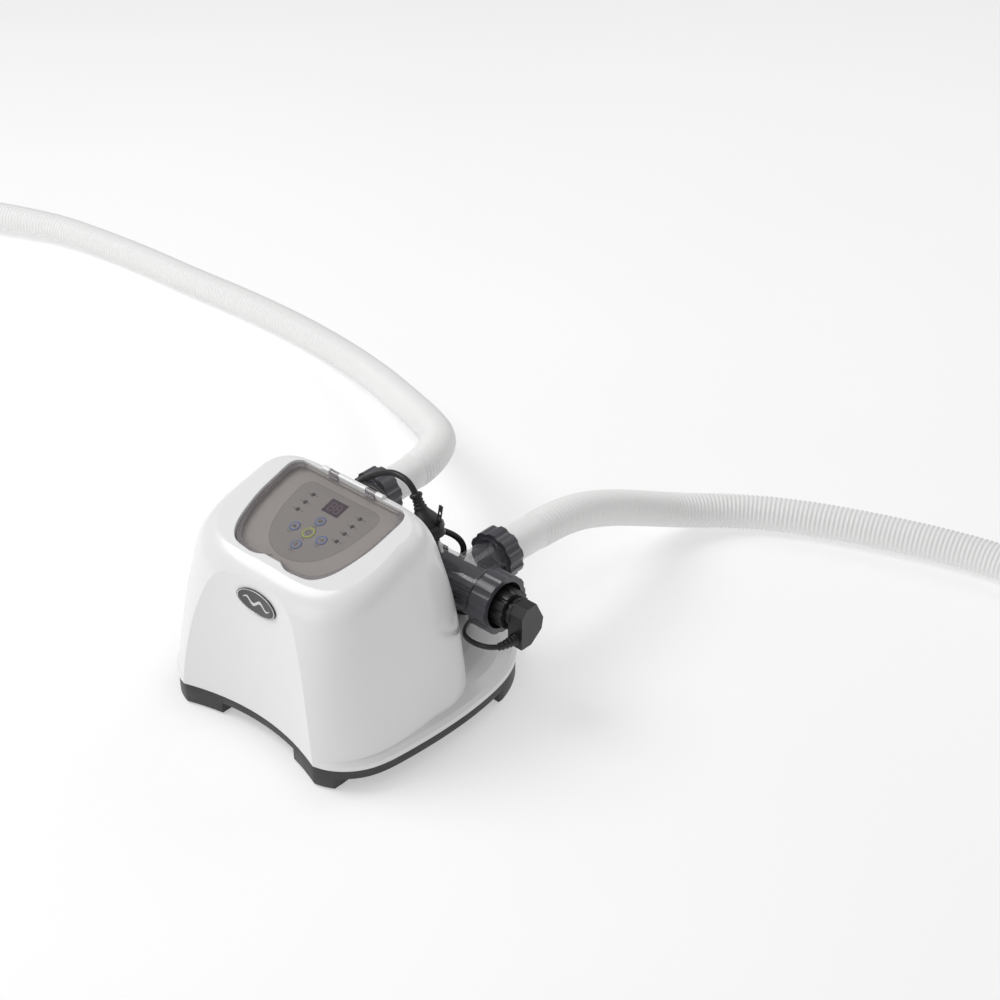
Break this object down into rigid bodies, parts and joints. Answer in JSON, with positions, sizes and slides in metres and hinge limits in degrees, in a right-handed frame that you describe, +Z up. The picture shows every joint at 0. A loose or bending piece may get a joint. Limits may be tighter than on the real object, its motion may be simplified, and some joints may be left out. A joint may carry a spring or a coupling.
{
  "type": "salt chlorine generator",
  "caption": "Floor-standing pool salt chlorinator: white housing, hinged clear cover over a keypad, smoke-grey cell tube behind with two white hoses.",
  "frame": {"origin": "centre of the footprint, on the floor", "axes": "+Z up, +X right, the front faces -Y"},
  "size_m": [2.2939, 0.8527, 0.2578],
  "materials": {
    "white_shell": "satin white ABS",
    "grey_base": "fine matte dark grey",
    "rubber": "matt black rubber",
    "badge": "gloss black with a pale rim",
    "panel_taupe": "satin warm grey",
    "overlay_taupe": "printed film, warm grey",
    "key": "soft key with a coloured ring",
    "display": "dark tinted window",
    "electronics": "black component plastic",
    "led": "unlit lens",
    "board": "green circuit board",
    "clear_lid": "clear polycarbonate",
    "steel": "plain steel",
    "lamination": "varnished steel laminations",
    "copper": "enamelled copper winding",
    "aluminium": "extruded aluminium",
    "smoke_tube": "smoke-grey clear plastic",
    "nut_grey": "dark violet-grey moulded plastic",
    "titanium": "coated titanium plate",
    "black_plastic": "black moulded plastic",
    "hose_white": "white soft hose plastic",
    "cord_black": "black cord jacket"
  },
  "bodies": {
    "housing": {"base_tray": "grey_base", "rubber_feet": "rubber", "base_screws": "steel", "top_shell": "white_shell", "front_badge": "badge", "panel_frame": "panel_taupe", "keypad_overlay": "overlay_taupe", "display_window": "display", "display_module": "electronics", "indicator_leds": "led", "tact_switches": "electronics", "panel_board": "board", "cover_hinge_pins": "steel", "transformer_core": "lamination", "transformer_coil": "copper", "transformer_bracket": "steel", "power_board": "board", "heat_sink": "aluminium", "relays": "electronics", "capacitors": "electronics", "terminal_block": "electronics", "fuse_holder": "electronics", "mains_gland": "black_plastic", "lead_glands": "black_plastic", "cell_housing": "smoke_tube", "tube_saddles": "grey_base", "tube_straps": "grey_base", "strap_screws": "steel", "cell_plates": "titanium", "cell_head": "black_plastic", "cell_plug": "black_plastic", "end_seals": "rubber", "sensor_body": "black_plastic", "paddle_pin": "steel", "hose_gaskets": "rubber", "hose_tails": "hose_white", "hose_left": "hose_white", "hose_right": "hose_white", "hose_cuff_left": "hose_white", "hose_cuff_right": "hose_white", "mains_cord": "cord_black", "mains_hank": "cord_black", "mains_cord_end": "cord_black", "mains_plug": "cord_black", "cord_ties": "black_plastic", "cell_lead": "cord_black", "sensor_lead": "cord_black"},
    "cover": {"clear_cover": "clear_lid"},
    "key_centre_cap": {"key_centre": "key"},
    "key_rear_cap": {"key_rear": "key"},
    "key_front_cap": {"key_front": "key"},
    "key_left_cap": {"key_left": "key"},
    "key_right_cap": {"key_right": "key"},
    "hose_nut_l": {"hose_nut_left": "nut_grey"},
    "hose_nut_r": {"hose_nut_right": "nut_grey"},
    "cell_ring": {"cell_nut": "nut_grey"},
    "sensor_ring": {"sensor_nut": "nut_grey"},
    "far_ring_l": {"far_nut_left": "nut_grey"},
    "far_ring_r": {"far_nut_right": "nut_grey"},
    "flow_paddle": {"sensor_paddle": "black_plastic"}
  },
  "joints": [
    {"name": "cover_hinge", "type": "hinge", "parent": "housing", "child": "cover", "pos_m": [0, 0.0138, 0.2538], "axis": [-1, 0, 0], "range_deg": [0, 100]},
    {"name": "press_centre", "type": "slide", "parent": "housing", "child": "key_centre_cap", "axis": [0, 0.2823, -0.9593], "range_m": [0, 0.0006], "stiffness_N_per_m": 800, "springref_m": -0.0003},
    {"name": "press_rear", "type": "slide", "parent": "housing", "child": "key_rear_cap", "axis": [0, 0.2823, -0.9593], "range_m": [0, 0.0006], "stiffness_N_per_m": 800, "springref_m": -0.0003},
    {"name": "press_front", "type": "slide", "parent": "housing", "child": "key_front_cap", "axis": [0, 0.2823, -0.9593], "range_m": [0, 0.0006], "stiffness_N_per_m": 800, "springref_m": -0.0003},
    {"name": "press_left", "type": "slide", "parent": "housing", "child": "key_left_cap", "axis": [0, 0.2823, -0.9593], "range_m": [0, 0.0006], "stiffness_N_per_m": 800, "springref_m": -0.0003},
    {"name": "press_right", "type": "slide", "parent": "housing", "child": "key_right_cap", "axis": [0, 0.2823, -0.9593], "range_m": [0, 0.0006], "stiffness_N_per_m": 800, "springref_m": -0.0003},
    {"name": "hose_nut_left_turn", "type": "hinge", "parent": "housing", "child": "hose_nut_l", "pos_m": [-0.095, 0.14, 0.139], "axis": [0, 1, 0], "continuous": true},
    {"name": "hose_nut_right_turn", "type": "hinge", "parent": "housing", "child": "hose_nut_r", "pos_m": [0.095, 0.14, 0.139], "axis": [0, 1, 0], "continuous": true},
    {"name": "cell_nut_turn", "type": "hinge", "parent": "housing", "child": "cell_ring", "pos_m": [0.15, 0.073, 0.139], "axis": [1, 0, 0], "continuous": true},
    {"name": "sensor_nut_turn", "type": "hinge", "parent": "housing", "child": "sensor_ring", "pos_m": [-0.15, 0.073, 0.139], "axis": [-1, 0, 0], "continuous": true},
    {"name": "far_nut_left_turn", "type": "hinge", "parent": "housing", "child": "far_ring_l", "pos_m": [-1.36747, 0.41573, 0.03382], "axis": [-0.9094, -0.4143, 0.0364], "continuous": true},
    {"name": "far_nut_right_turn", "type": "hinge", "parent": "housing", "child": "far_ring_r", "pos_m": [0.86989, 0.24133, 0.0333], "axis": [0.408, -0.9126, 0.0279], "continuous": true},
    {"name": "paddle_swing", "type": "hinge", "parent": "housing", "child": "flow_paddle", "pos_m": [-0.126, 0.073, 0.152], "axis": [0, 1, 0], "range_deg": [-35, 0]}
  ]
}
